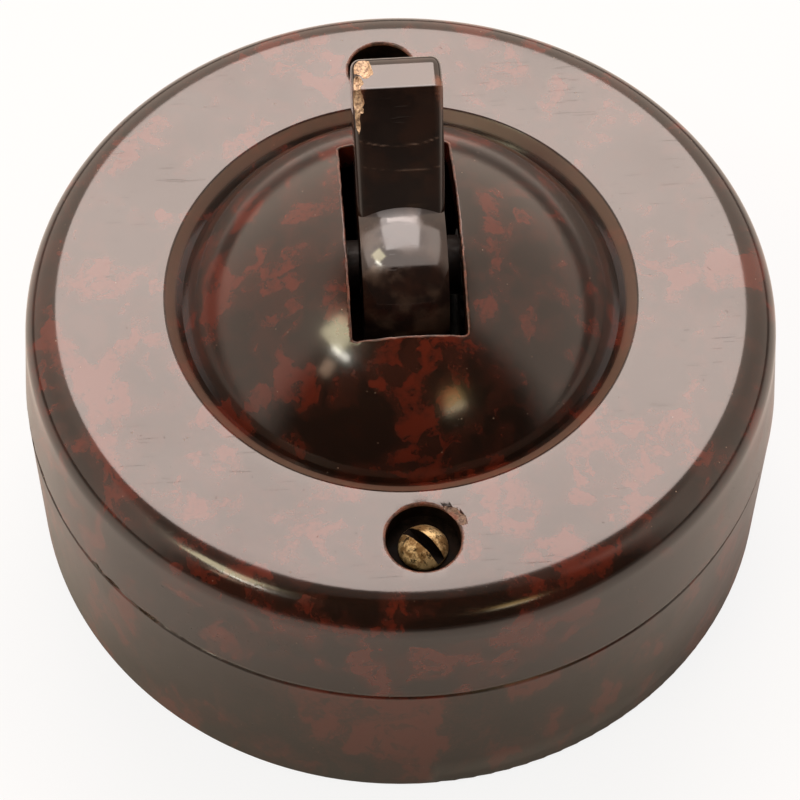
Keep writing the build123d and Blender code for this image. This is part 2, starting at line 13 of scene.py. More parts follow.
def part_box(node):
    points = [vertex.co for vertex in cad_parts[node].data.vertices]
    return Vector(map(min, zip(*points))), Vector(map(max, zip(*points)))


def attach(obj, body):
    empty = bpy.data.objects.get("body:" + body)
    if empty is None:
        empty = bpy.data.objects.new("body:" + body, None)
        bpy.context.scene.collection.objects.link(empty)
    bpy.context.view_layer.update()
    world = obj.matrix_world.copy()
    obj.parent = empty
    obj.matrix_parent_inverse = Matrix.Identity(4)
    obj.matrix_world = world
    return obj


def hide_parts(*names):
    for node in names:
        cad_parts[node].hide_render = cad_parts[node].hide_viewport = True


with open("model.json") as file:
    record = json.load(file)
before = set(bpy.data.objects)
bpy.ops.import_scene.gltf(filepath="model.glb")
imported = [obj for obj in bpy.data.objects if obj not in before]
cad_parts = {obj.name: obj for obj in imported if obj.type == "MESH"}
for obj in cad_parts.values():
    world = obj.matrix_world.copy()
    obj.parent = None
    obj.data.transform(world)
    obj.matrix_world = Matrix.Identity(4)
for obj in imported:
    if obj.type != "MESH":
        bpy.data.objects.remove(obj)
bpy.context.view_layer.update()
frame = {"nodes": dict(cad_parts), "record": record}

MM = 0.001
nodes = frame["nodes"]

# Cover and base
SEGMENTS = 360
SEAM_R = 34.5
SEAM_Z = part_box("cover")[0].z / MM
SEAM_CHAMFER = 0.3
LAP_R = 32.15
LAP_Z = SEAM_Z + 2.05
RING_Z = 28.8
RING_CORNER_R = 33.1
RING_EDGE_ROUND = 3.2
INNER_R = 31.2
INNER_CHAMFER = 1.2
UNDER_RING_Z = 25.6
GROOVE_R = 20.96
GROOVE_DEPTH = 1.2
GROOVE_EDGE_ROUND = 0.4
DOME_R = 22.1
DOME_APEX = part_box("cover")[1].z / MM
DOME_THICKNESS = 2.5
DOME_CENTRE_Z = DOME_APEX - DOME_R
SLOT_HALF = (4.85, 10.4)
SLOT_CORNER_R = 0.4
CHIP_LOOPS = (0.25, 0.45, 0.7, 1.1, 1.8, 3.5)
LIP_STEPS = 4

# Cover screws
SCREW_Y = 25.4
RECESS_R = 3.15
HEAD_SEAT_Z = 26.9
CLEARANCE_R = 1.6
BOSS_R = 4.7
BOSS_END = 20.4
HEAD_R = 2.1
HEAD_HEIGHT = 1.6
HEAD_CROWN = 1.3
SHANK_R = 1.4
SHANK_LENGTH = 17.1
SLOT_ANGLES = {"front": -48, "back": 14}

# Dolly, along its own axis from the pivot
PIVOT = Vector((0, 0, 31.8))
TILT = 25
HUB_R = 8.0
HUB_WIDTH = 7.3
LEVER_HALF = (3.75, 3.0)
LEVER_FRONT_END = 18.5
LEVER_BACK_END = 17.1
LEVER_NOSE = (0.3, 20.1)
NOSE_ROUND = 1.7
NOSE_BACK_ROUND = 1.0
NOSE_FRONT_ROUND = 0.25
EDGE_ROUND = 0.8
PIN_HOLE_R = 1.3
BORE_R = 2.38
BORE_START = 2.2

# Camera
CAMERA_PLACE = Vector((-9.6, -118.3, 194.9))
LOOK_DOWN = 57.25
LOOK_TURN = -4.64
LOOK_ROLL = 0.57


# Node materials


class Graph:
    """A node tree built a node at a time."""

    clamped = False

    def __init__(self, tree):
        self.tree = tree

    def node(self, kind, **inputs):
        """A new node with these inputs joined or set. Underscores in their names stand for spaces."""
        node = self.tree.nodes.new(f"ShaderNode{kind}")
        for name, value in inputs.items():
            self.connect(node.inputs[name.replace("_", " ")], value)
        return node

    def connect(self, socket, value):
        """Joins a socket to another node's output, or sets it."""
        if isinstance(value, bpy.types.NodeSocket):
            self.tree.links.new(value, socket)
        elif value is not None:
            socket.default_value = value

    def math(self, operation, first, second=None):
        node = self.tree.nodes.new("ShaderNodeMath")
        node.operation = operation
        node.use_clamp = self.clamped and operation in ("ADD", "SUBTRACT", "MULTIPLY")
        self.connect(node.inputs[0], first)
        self.connect(node.inputs[1], second)
        return node.outputs[0]

    def ease(self, value, start, end, low=0.0, high=1.0):
        """Low below start and high above end, with a smooth step between."""
        node = self.node("MapRange")
        node.interpolation_type = "SMOOTHSTEP"
        names = ("Value", "From Min", "From Max", "To Min", "To Max")
        for name, item in zip(names, (value, start, end, low, high)):
            self.connect(node.inputs[name], item)
        return node.outputs["Result"]

    def mixed(self, factor, first, second):
        """A mix of two shaders."""
        node = self.node("MixShader")
        for socket, value in zip(node.inputs, (factor, first, second)):
            self.connect(socket, value)
        return node.outputs[0]


class Paint(Graph):
    """A material on coordinates in millimetres that stay with the piece, with sums kept between 0 and 1."""

    clamped = True

    def __init__(self, name):
        self.material = bpy.data.materials.new(name)
        self.material.use_nodes = True
        super().__init__(self.material.node_tree)
        self.shader = self.tree.nodes["Principled BSDF"]
        place = self.node("TexCoord").outputs["Object"]
        self.place = self.vector("SCALE", place, scale=1 / MM)

    def vector(self, operation, first, second=None, scale=None):
        node = self.node("VectorMath")
        node.operation = operation
        self.connect(node.inputs[0], first)
        self.connect(node.inputs[1], second)
        if scale is not None:
            self.connect(node.inputs["Scale"], scale)
        return node.outputs["Value"] if operation == "LENGTH" else node.outputs["Vector"]

    def turned(self, angles=(0, 0, 0), scale=(1, 1, 1)):
        """The coordinates turned by angles in degrees and scaled."""
        angles = [math.radians(a) for a in angles]
        return self.node("Mapping", Vector=self.place, Rotation=angles, Scale=scale).outputs[0]

    def warped(self, start, *layers):
        """Coordinates pushed about by layers of noise, each with its scale per millimetre and its reach."""
        for per_mm, reach in layers:
            node = self.node("TexNoise", Vector=start, Scale=per_mm, Detail=3.0)
            push = self.vector("SUBTRACT", node.outputs["Color"], (0.5, 0.5, 0.5))
            start = self.vector("ADD", start, self.vector("SCALE", push, scale=reach))
        return start

    def noise(self, per_mm, detail=3.0, roughness=0.5, distortion=0.0, at=None):
        node = self.node("TexNoise", Vector=at or self.place, Scale=per_mm, Detail=detail)
        node.inputs["Roughness"].default_value = roughness
        node.inputs["Distortion"].default_value = distortion
        return node.outputs[0]

    def cells(self, per_mm, at=None):
        """Distance from the nearest of many scattered points."""
        return self.node("TexVoronoi", Vector=at or self.place, Scale=per_mm).outputs["Distance"]

    def flakes(self, per_mm, softness, at=None):
        """A random tone for each cell, blended a little where cells meet."""
        node = self.tree.nodes.new("ShaderNodeTexVoronoi")
        node.feature = "SMOOTH_F1"
        self.connect(node.inputs["Vector"], at or self.place)
        node.inputs["Scale"].default_value = per_mm
        node.inputs["Smoothness"].default_value = softness
        return self.node("SeparateColor", Color=node.outputs["Color"]).outputs[0]

    def height(self):
        """Distance up the Z axis."""
        return self.node("SeparateXYZ", Vector=self.place).outputs["Z"]

    def radius(self):
        """Distance from the Z axis."""
        return self.vector("LENGTH", self.vector("MULTIPLY", self.place, (1, 1, 0)))

    def blend(self, factor, first, second):
        """A mix of two colours."""
        node = self.tree.nodes.new("ShaderNodeMix")
        node.data_type = "RGBA"
        self.connect(node.inputs["Factor"], factor)
        self.connect(node.inputs["A"], first)
        self.connect(node.inputs["B"], second)
        return node.outputs["Result"]

    def tint(self, color, amount, mask, other):
        """The colour blended by an amount towards another where the mask is 1."""
        return self.blend(self.math("MULTIPLY", mask, amount), color, other)

    def plus(self, value, mask, amount):
        """The value raised by an amount where the mask is 1."""
        return self.math("ADD", value, self.math("MULTIPLY", mask, amount))

    def mask(self, name):
        """A value painted on the mesh's points."""
        node = self.node("Attribute")
        node.attribute_name = name
        return node.outputs["Fac"]

    def bumps(self, *layers):
        """Stacks bump layers, each a height and its depth in millimetres."""
        normal = None
        for height, depth in layers:
            node = self.node("Bump", Strength=1.0, Distance=depth * MM, Height=height, Normal=normal)
            normal = node.outputs["Normal"]
        self.connect(self.shader.inputs["Normal"], normal)

    def finish(self, color, roughness, metallic=0.0, ior=1.5):
        self.connect(self.shader.inputs["Base Color"], color)
        self.connect(self.shader.inputs["Roughness"], roughness)
        self.shader.inputs["Metallic"].default_value = metallic
        self.shader.inputs["IOR"].default_value = ior
        return self.material


def srgb(red, green, blue):
    """A linear colour from its 8-bit sRGB values."""
    parts = [c / 255 for c in (red, green, blue)]
    return (*[c / 12.92 if c <= 0.04045 else ((c + 0.055) / 1.055) ** 2.4 for c in parts], 1)


def scratches(paint, angle, per_mm, spread, threshold):
    """Sparse fine lines that run at an angle: 1 on a line and 0 elsewhere."""
    along = paint.turned((0, 0, angle), (spread, 1, 1))
    fine = paint.noise(per_mm, detail=1.0, roughness=0.4, distortion=0.6, at=along)
    sparse = paint.ease(paint.noise(0.12, detail=2.0), 0.45, 0.65)
    return paint.math("MULTIPLY", paint.ease(fine, threshold, threshold + 0.05), sparse)


def groove_flank(paint):
    """1 on the side of the groove round the dome, and 0 elsewhere."""
    radius = paint.radius()
    outside = paint.ease(radius, GROOVE_R - 0.01, GROOVE_R - 0.21)
    flank = paint.math("MULTIPLY", paint.ease(radius, GROOVE_R - 1.16, GROOVE_R - 0.76), outside)
    foot_z = RING_Z - GROOVE_DEPTH
    return paint.math("MULTIPLY", flank, paint.ease(paint.height(), foot_z - 0.3, foot_z))


def mottled_bakelite(name, streak, dull):
    """Polished near-black brown with soft red-brown flakes, drawn out along Z by a streak below 1."""
    paint = Paint(name)
    flow = paint.warped(paint.turned(scale=(1, 1, streak)), (0.25, 4.0), (0.9, 1.6))
    tone = paint.math("MULTIPLY", paint.flakes(0.24, 0.6, flow), 0.5)
    tone = paint.plus(tone, paint.flakes(0.65, 0.5, flow), 0.3)
    tone = paint.plus(tone, paint.noise(1.6, detail=6.0, roughness=0.7), 0.34)
    color = paint.blend(paint.ease(tone, 0.42, 0.6), srgb(25, 16, 12), srgb(46, 23, 17))
    color = paint.blend(paint.ease(tone, 0.6, 0.76), color, srgb(84, 31, 20))
    vein = paint.ease(paint.noise(0.5, detail=5.0, roughness=0.6, at=flow), 0.56, 0.64)
    color = paint.tint(color, 0.6, vein, srgb(22, 15, 12))
    grain = paint.ease(paint.noise(5.0, detail=3.0, roughness=0.7), 0.45, 0.7)
    color = paint.tint(color, 0.15, grain, srgb(90, 44, 32))
    dust = paint.ease(paint.cells(1.1), 0.075, 0.045)
    dust = paint.math("MULTIPLY", dust, paint.ease(paint.noise(0.7), 0.52, 0.6))
    color = paint.tint(color, 0.6, dust, srgb(168, 148, 130))
    crossing = scratches(paint, -62, 7.0, 0.04, 0.72)
    marks = paint.math("ADD", scratches(paint, 35, 6.0, 0.035, 0.72), crossing)
    # The groove's flank is never polished, so it is rougher, and its colour carries a painted reflection in
    # pale brown-grey
    flank = groove_flank(paint)
    # Painted reflection: the flank's colour blended towards pale brown-grey
    color = paint.tint(color, 0.45, flank, srgb(128, 100, 86))
    haze = paint.ease(paint.noise(0.09, detail=3.0), 0.35, 0.7, 0.12 + dull, 0.18 + dull)
    wall = paint.ease(paint.height(), RING_Z - 2.3, RING_Z - 4.8, 0.0, 0.1)
    rough = paint.math("ADD", haze, wall)
    for mask, amount in ((marks, 0.1), (flank, 0.3), (dust, 0.4)):
        rough = paint.plus(rough, mask, amount)
    pits = paint.ease(paint.cells(0.55, at=flow), 0.04, 0.02)
    paint.bumps(
        (paint.noise(0.1, detail=1.0), 0.05),
        (paint.noise(1.2, detail=2.0), 0.003),
        (paint.noise(9.0, detail=2.0), 0.0012),
        (marks, -0.002),
        (pits, -0.02),
    )
    return paint.finish(color, rough, ior=1.6)


def worn_bakelite(name):
    """An edge rubbed through its polish: paler and redder than the faces beside it."""
    paint = Paint(name)
    patch = paint.noise(1.4, detail=4.0, roughness=0.65)
    color = paint.blend(paint.ease(patch, 0.4, 0.6), srgb(58, 36, 30), srgb(116, 74, 62))
    paint.bumps((paint.noise(5.0, detail=3.0), 0.03))
    return paint.finish(color, paint.ease(patch, 0.3, 0.7, 0.4, 0.24), ior=1.6)


def broken_bakelite(name, dark, pale, stain):
    """The dull, grainy face of a chip: resin with pale wood-flour filler."""
    paint = Paint(name)
    grain = paint.noise(4.5, detail=6.0, roughness=0.7)
    color = paint.blend(paint.ease(grain, 0.36, 0.6), dark, pale)
    patch = paint.ease(paint.noise(1.1, detail=3.0), 0.52, 0.62)
    color = paint.tint(color, 0.6, patch, stain)
    fleck = paint.ease(paint.cells(3.2), 0.16, 0.08)
    color = paint.tint(color, 0.5, fleck, srgb(196, 172, 150))
    paint.bumps((grain, 0.1), (paint.noise(1.6, detail=3.0), 0.2))
    return paint.finish(color, 0.5, ior=1.55)


def dolly_moulding():
    """Plain glossy near-black brown, rubbed, dusty and cracked where the mesh is marked."""
    paint = Paint("dolly_moulding")
    cloud = paint.noise(0.3, detail=4.0, roughness=0.6)
    color = paint.blend(paint.ease(cloud, 0.4, 0.65), srgb(17, 11, 9), srgb(28, 16, 11))
    worn = paint.plus(paint.mask("rubbed"), paint.noise(3.2, detail=5.0, roughness=0.65), 0.5)
    worn = paint.ease(worn, 0.55, 1.05)
    color = paint.tint(color, 0.85, worn, srgb(88, 50, 32))
    speck = paint.ease(paint.cells(1.5), 0.09, 0.05)
    dust = paint.ease(paint.noise(0.5, detail=6.0), 0.45, 0.7)
    dust = paint.math("MULTIPLY", paint.mask("dusty"), dust)
    dust = paint.math("MULTIPLY", paint.plus(dust, speck, dust), 0.5)
    color = paint.tint(color, 0.2, dust, srgb(108, 86, 70))
    broken_up = paint.ease(paint.noise(0.9, detail=3.0), 0.3, 0.55)
    crack = paint.math("MULTIPLY", paint.mask("cracked"), broken_up)
    color = paint.tint(color, 0.3, crack, srgb(120, 98, 84))
    rough = paint.ease(cloud, 0.3, 0.7, 0.07, 0.13)
    for mask, amount in ((dust, 0.25), (worn, 0.25), (crack, 0.3)):
        rough = paint.plus(rough, mask, amount)
    marks = scratches(paint, 8, 5.0, 0.05, 0.7)
    paint.bumps((paint.noise(0.16, detail=1.0), 0.02), (marks, -0.003), (crack, -0.006), (dust, 0.002))
    return paint.finish(color, rough, ior=1.6)


def aged_metal(name, bright, dull, tarnish, amount, roughness=0.8):
    """A metal with bright rubbed patches, a duller body and dark tarnish, under fine scratches."""
    paint = Paint(name)
    cloud = paint.noise(0.9, detail=5.0, roughness=0.62)
    color = paint.blend(paint.ease(cloud, 0.42, 0.6), dull, bright)
    edge = 0.62 - 0.2 * amount
    grime = paint.ease(paint.noise(1.7, detail=6.0, roughness=0.7), edge, edge + 0.16)
    color = paint.tint(color, 0.85, grime, tarnish)
    marks = paint.math("ADD", scratches(paint, 20, 5.0, 0.08, 0.64), scratches(paint, 75, 6.0, 0.1, 0.65))
    rough = paint.plus(paint.ease(cloud, 0.3, 0.7, roughness + 0.12, roughness - 0.08), grime, 0.3)
    paint.bumps((paint.noise(2.2, detail=4.0), 0.03), (marks, -0.02), (grime, 0.015))
    return paint.finish(color, rough, metallic=1.0)


def dull_insulation(name, light, dark, per_mm, depth, ior=1.5):
    """A plain insulating material with a grain of two tones."""
    paint = Paint(name)
    grain = paint.noise(per_mm, detail=5.0, roughness=0.65, distortion=0.3)
    color = paint.blend(paint.ease(grain, 0.38, 0.64), dark, light)
    paint.bumps((grain, depth), (paint.noise(6 * per_mm, detail=2.0), depth / 4))
    return paint.finish(color, paint.ease(grain, 0.3, 0.7, 0.45, 0.7), ior=ior)


# Meshes


def new_piece(name, bm, *materials):
    """An object made from a bmesh in millimetres."""
    bmesh.ops.scale(bm, vec=(MM, MM, MM), verts=bm.verts)
    bmesh.ops.recalc_face_normals(bm, faces=bm.faces)
    mesh = bpy.data.meshes.new(name)
    bm.to_mesh(mesh)
    bm.free()
    for material in materials:
        mesh.materials.append(material)
    piece = bpy.data.objects.new(name, mesh)
    bpy.context.scene.collection.objects.link(piece)
    return piece


def smooth(piece, sharp=38):
    """Smooth shading, with a sharp edge wherever faces meet at more than this angle."""
    mesh = piece.data
    mesh.polygons.foreach_set("use_smooth", [True] * len(mesh.polygons))
    mesh.set_sharp_from_angle(angle=math.radians(sharp))


def cut(piece, tools, operation="DIFFERENCE"):
    """Cuts the tools out of the piece, or joins them to it. Faces keep their materials."""
    group = bpy.data.collections.new("tools")
    bpy.context.scene.collection.children.link(group)
    for tool in tools:
        group.objects.link(tool)
    step = piece.modifiers.new("cut", "BOOLEAN")
    step.operand_type = "COLLECTION"
    step.collection = group
    step.operation = operation
    step.solver = "EXACT"
    step.material_mode = "TRANSFER"
    graph = bpy.context.evaluated_depsgraph_get()
    result = bpy.data.meshes.new_from_object(piece.evaluated_get(graph))
    piece.modifiers.clear()
    piece.data = result
    for tool in tools:
        bpy.data.objects.remove(tool)
    bpy.data.collections.remove(group)
    return piece


def bridge_loops(bm, first, second, material=0):
    """Quads between two loops of as many points."""
    for i in range(len(first)):
        j = (i + 1) % len(first)
        corners = [first[i], first[j], second[j], second[i]]
        if len(set(corners)) > 2:
            bm.faces.new(list(dict.fromkeys(corners))).material_index = material


def lathe(name, profile, *materials, segments=SEGMENTS, ripple=None):
    """Turns a closed profile of (r, z) points about Z. Points on the axis become single points."""
    bm = bmesh.new()
    loops = []
    for r, z in profile:
        if r < 1e-6:
            loops.append([bm.verts.new((0, 0, z))] * segments)
            continue
        loop = []
        for i in range(segments):
            a = 2 * math.pi * i / segments
            place = Vector((r * math.cos(a), r * math.sin(a), z))
            loop.append(bm.verts.new(place + ripple(place) if ripple else place))
        loops.append(loop)
    for first, second in zip(loops, loops[1:] + loops[:1]):
        bridge_loops(bm, first, second)
    return new_piece(name, bm, *materials)


def arc(start, middle, end, steps):
    """Points along the arc through three points, without its ends."""
    (ax, ay), (bx, by), (cx, cy) = start, middle, end
    d = 2 * (ax * (by - cy) + bx * (cy - ay) + cx * (ay - by))
    sa, sb, sc = ax * ax + ay * ay, bx * bx + by * by, cx * cx + cy * cy
    x = (sa * (by - cy) + sb * (cy - ay) + sc * (ay - by)) / d
    y = (sa * (cx - bx) + sb * (ax - cx) + sc * (bx - ax)) / d
    radius = math.hypot(ax - x, ay - y)
    first = math.atan2(ay - y, ax - x)
    sweep = math.remainder(math.atan2(cy - y, cx - x) - first, math.tau)
    turns = [first + sweep * i / steps for i in range(1, steps)]
    return [(x + radius * math.cos(a), y + radius * math.sin(a)) for a in turns]


def rounded(before, corner, after, radius, steps):
    """Points that round off the corner of a profile, its two tangent points included."""
    c = Vector(corner)
    u = (Vector(before) - c).normalized()
    v = (Vector(after) - c).normalized()
    half = u.angle(v) / 2
    start = c + u * radius / math.tan(half)
    end = c + v * radius / math.tan(half)
    middle = c + (u + v).normalized() * (radius / math.sin(half) - radius)
    return [tuple(start), *arc(start, middle, end, steps), tuple(end)]


def straight(start, end, steps):
    """Points along a line, its start included and its end left out."""
    a, b = Vector(start), Vector(end)
    return [tuple(a.lerp(b, i / steps)) for i in range(steps)]


def dome_height(place):
    """Height of the dome's outside over a point of the plan."""
    return DOME_CENTRE_Z + math.sqrt(DOME_R**2 - place[0] ** 2 - place[1] ** 2)


def wobble(place, per_mm, seed):
    """Smooth noise from about -1 to 1 at a point in millimetres."""
    return noise.noise(Vector(place).to_3d() * per_mm + Vector((seed, 0, 0)))


def opening_tool(name, outline, height_at, lip_at, bottom, top, materials):
    """A tool for an opening with a rounded lip.

    The outline holds pairs of a point and its outward direction.
    The materials are the wall's and the lip's.
    """
    bm = bmesh.new()
    stacks = []
    for point, outward in outline:
        lip = lip_at(point)
        far = point + outward * lip
        inner = Vector((*point, height_at(point) - lip))
        corner = Vector((*point, height_at(point)))
        edge = Vector((*far, height_at(far)))
        stack = [Vector((*point, bottom))]
        for i in range(LIP_STEPS + 1):
            t = i / LIP_STEPS
            stack.append(inner.lerp(corner, t).lerp(corner.lerp(edge, t), t))
        stack.append(Vector((*far, top)))
        stacks.append([bm.verts.new(place) for place in stack])
    loops = list(zip(*stacks))
    for level, (first, second) in enumerate(zip(loops, loops[1:])):
        bridge_loops(bm, first, second, int(0 < level <= LIP_STEPS))
    bm.faces.new(loops[0])
    bm.faces.new(loops[-1])
    return new_piece(name, bm, *materials)


def chip_tool(name, place, size, turn, seed, material):
    """A lumpy tool that knocks out a chip: half sizes and place in millimetres, turn in degrees."""
    bm = bmesh.new()
    bmesh.ops.create_icosphere(bm, subdivisions=4, radius=1)
    for vert in bm.verts:
        lump = 1 + 0.35 * wobble(vert.co, 1.4, seed) + 0.12 * wobble(vert.co, 4.5, seed + 7)
        vert.co *= lump
    angles = Euler([math.radians(a) for a in turn]).to_matrix().to_4x4()
    bm.transform(Matrix.Translation(place) @ angles @ Matrix.Diagonal((*size, 1)))
    return new_piece(name, bm, material)


def slot_outline():
    """Points round the dolly's slot and their outward directions, with a slightly ragged run."""
    step = 0.3
    half_x, half_y = SLOT_HALF
    outline = []
    corners = [(1, -1, -90), (1, 1, 0), (-1, 1, 90), (-1, -1, 180)]
    for i, (sx, sy, start) in enumerate(corners):
        centre = Vector((sx * (half_x - SLOT_CORNER_R), sy * (half_y - SLOT_CORNER_R)))
        for turn in range(0, 91, 30):
            a = math.radians(start + turn)
            outward = Vector((math.cos(a), math.sin(a)))
            outline.append((centre + outward * SLOT_CORNER_R, outward))
        nx, ny, _ = corners[(i + 1) % 4]
        following = Vector((nx * (half_x - SLOT_CORNER_R), ny * (half_y - SLOT_CORNER_R)))
        last, outward = outline[-1]
        run = following - centre
        count = int(run.length / step)
        outline += [(last + run * k / count, outward) for k in range(1, count)]
    ragged = []
    for point, outward in outline:
        bite = 0.05 * wobble(point, 0.9, 3) + 0.035 * wobble(point, 3.1, 11)
        ragged.append((point + outward * bite, outward))
    return ragged


def ring_outline(centre, radius, count):
    """Points round a hole and their outward directions."""
    outline = []
    for i in range(count):
        a = 2 * math.pi * i / count
        outward = Vector((math.cos(a), math.sin(a)))
        outline.append((Vector(centre) + outward * radius, outward))
    return outline


def rod(name, centre, radius, bottom, top, material, segments=96):
    """A plain upright rod, for joining or cutting."""
    profile = [(0, bottom), (radius, bottom), (radius, top), (0, top)]
    tool = lathe(name, profile, material, segments=segments)
    tool.data.transform(Matrix.Translation(Vector((*centre, 0)) * MM))
    return tool


def block(name, low, high, material):
    """A plain block between two corners, for joining or cutting."""
    bm = bmesh.new()
    bmesh.ops.create_cube(bm, size=1)
    low, high = Vector(low), Vector(high)
    bm.transform(Matrix.Translation((low + high) / 2) @ Matrix.Diagonal((*(high - low), 1)))
    return new_piece(name, bm, material)


# Chips along the seam, where the cover has been prised off: azimuth in degrees, then the length and the
# heights into the cover and into the base in millimetres
SEAM_CHIPS = [
    (183.0, 4.6, 0.5, 0.7),
    (187.5, 3.0, 0.7, 0.35),
    (192.0, 1.8, 0.8, 0.5),
    (196.5, 4.4, 0.75, 0.45),
    (202.0, 4.0, 0.6, 0.35),
    (208.0, 3.6, 0.3, 0.25),
    (212.5, 2.0, 0.35, 0.3),
    (215.5, 1.2, 0.7, 0.2),
    (218.5, 2.6, 0.5, 0.5),
    (223.5, 2.2, 0.25, 0.3),
    (227.0, 2.4, 0.45, 0.6),
    (231.5, 2.6, 0.3, 0.3),
    (238.0, 1.8, 0.2, 0.25),
    (258.0, 1.0, 0.15, 0.2),
    (318.0, 1.4, 0.2, 0.2),
    (12.0, 2.2, 0.3, 0.3),
    (64.0, 1.6, 0.25, 0.2),
    (118.0, 2.4, 0.3, 0.35),
    (151.0, 1.5, 0.2, 0.3),
]


def seam_chips(into_cover, material):
    """One tool for each chip, in the cover's lower edge or the base's upper edge."""
    tools = []
    for i, (azimuth, length, cover_height, base_height) in enumerate(SEAM_CHIPS):
        height = cover_height if into_cover else base_height
        depth = 0.35 * height + 0.55
        a = math.radians(azimuth + (0.4 if into_cover else -0.5))
        place = (SEAM_R * math.cos(a), SEAM_R * math.sin(a), SEAM_Z)
        size = (depth, 0.7 * length, height + 0.15 if into_cover else 0.5 * height)
        tools.append(chip_tool("chip", place, size, (0, 0, azimuth), 2.3 * i + into_cover, material))
    return tools


def cover_shell(finish, worn, broken, seam_break, grime):
    """The cover: skirt, flat ring, cove and dome, cut for the dolly and the screws, with its chips."""
    dome_foot_z = RING_Z - GROOVE_DEPTH
    dome_foot_r = math.sqrt(DOME_R**2 - (dome_foot_z - DOME_CENTRE_Z) ** 2)
    inner_r = DOME_R - DOME_THICKNESS
    inner_foot_r = math.sqrt(inner_r**2 - (UNDER_RING_Z - DOME_CENTRE_Z) ** 2)
    rim = (SEAM_R, SEAM_Z + SEAM_CHAMFER)
    edge = rounded(rim, (RING_CORNER_R, RING_Z), (GROOVE_R, RING_Z), RING_EDGE_ROUND, 22)
    foot = (dome_foot_r, dome_foot_z)
    groove_edge = rounded(edge[-1], (GROOVE_R, RING_Z), foot, GROOVE_EDGE_ROUND, 6)
    low_turn = math.acos(dome_foot_r / DOME_R)
    rise = math.pi / 2 - low_turn
    outer = []
    for i in range(1, 60):
        a = low_turn + rise * i / 60
        outer.append((DOME_R * math.cos(a), DOME_CENTRE_Z + DOME_R * math.sin(a)))
    inner_turn = math.acos(inner_foot_r / inner_r)
    inner = []
    for i in range(1, 30):
        a = math.pi / 2 - (math.pi / 2 - inner_turn) * i / 30
        inner.append((inner_r * math.cos(a), DOME_CENTRE_Z + inner_r * math.sin(a)))
    profile = [
        (LAP_R, SEAM_Z),
        (SEAM_R - SEAM_CHAMFER, SEAM_Z),
        (SEAM_R - 0.3 * SEAM_CHAMFER, SEAM_Z + 0.3 * SEAM_CHAMFER),
        *straight(rim, edge[0], 24),
        *edge[:-1],
        *straight(edge[-1], groove_edge[0], 10),
        *groove_edge[:-1],
        *straight(groove_edge[-1], foot, 6),
        foot,
        *outer,
        (0, DOME_APEX),
        (0, DOME_APEX - DOME_THICKNESS),
        *inner,
        (inner_foot_r, UNDER_RING_Z),
        (INNER_R - INNER_CHAMFER, UNDER_RING_Z),
        (INNER_R, UNDER_RING_Z - INNER_CHAMFER),
        (INNER_R, LAP_Z),
        (LAP_R, LAP_Z),
    ]
    shell = lathe("cover_shell", profile, finish)
    bosses = []
    for end in (-1, 1):
        bosses.append(rod("boss", (0, end * SCREW_Y), BOSS_R, BOSS_END, UNDER_RING_Z + 0.5, finish))
        near, far = sorted((end * SCREW_Y, end * (INNER_R + 0.8)))
        bosses.append(block("web", (-2, near, BOSS_END), (2, far, UNDER_RING_Z + 0.5), finish))
    cut(shell, bosses, "UNION")
    tools = [
        opening_tool(
            "slot",
            slot_outline(),
            dome_height,
            lambda p: 0.2 + 0.08 * wobble(p, 1.1, 5) + 0.05 * wobble(p, 4.0, 9),
            UNDER_RING_Z - 1,
            DOME_APEX + 2,
            (finish, worn),
        )
    ]
    for end in (-1, 1):
        centre = (0, end * SCREW_Y)
        tools.append(
            opening_tool(
                "recess",
                ring_outline(centre, RECESS_R, 120),
                lambda p: RING_Z,
                lambda p: 0.24 + 0.07 * wobble(p, 1.1, 21),
                HEAD_SEAT_Z,
                RING_Z + 1,
                (grime, worn),
            )
        )
        tools.append(rod("clearance", centre, CLEARANCE_R, BOSS_END - 1, HEAD_SEAT_Z + 0.5, finish))
    tools.append(chip_tool("chip", (-0.9, -10.7, 37.15), (2.2, 0.75, 0.55), (20, 0, 3), 4, broken))
    tools.append(chip_tool("chip", (-4.75, 9.9, 36.95), (0.55, 0.9, 0.5), (-20, 0, 20), 8, broken))
    tools.append(chip_tool("chip", (2.7, -23.5, 28.95), (1.2, 0.75, 0.3), (0, 0, -35), 15, broken))
    tools += seam_chips(True, seam_break)
    cut(shell, tools)
    smooth(shell)
    return shell


def base_shell(finish, broken):
    """The base: the CAD shape with the chips along its upper edge."""
    bm = bmesh.new()
    bm.from_mesh(nodes["base"].data)
    bmesh.ops.remove_doubles(bm, verts=bm.verts, dist=1e-7)
    bmesh.ops.scale(bm, vec=(1 / MM, 1 / MM, 1 / MM), verts=bm.verts)
    # Loops under the seam keep the shading of the chips from spreading down the wall
    for below in CHIP_LOOPS:
        everything = [*bm.verts, *bm.edges, *bm.faces]
        bmesh.ops.bisect_plane(bm, geom=everything, plane_co=(0, 0, SEAM_Z - below), plane_no=(0, 0, 1))
    shell = new_piece("base_shell", bm, finish)
    cut(shell, seam_chips(False, broken))
    smooth(shell, 24)
    return shell


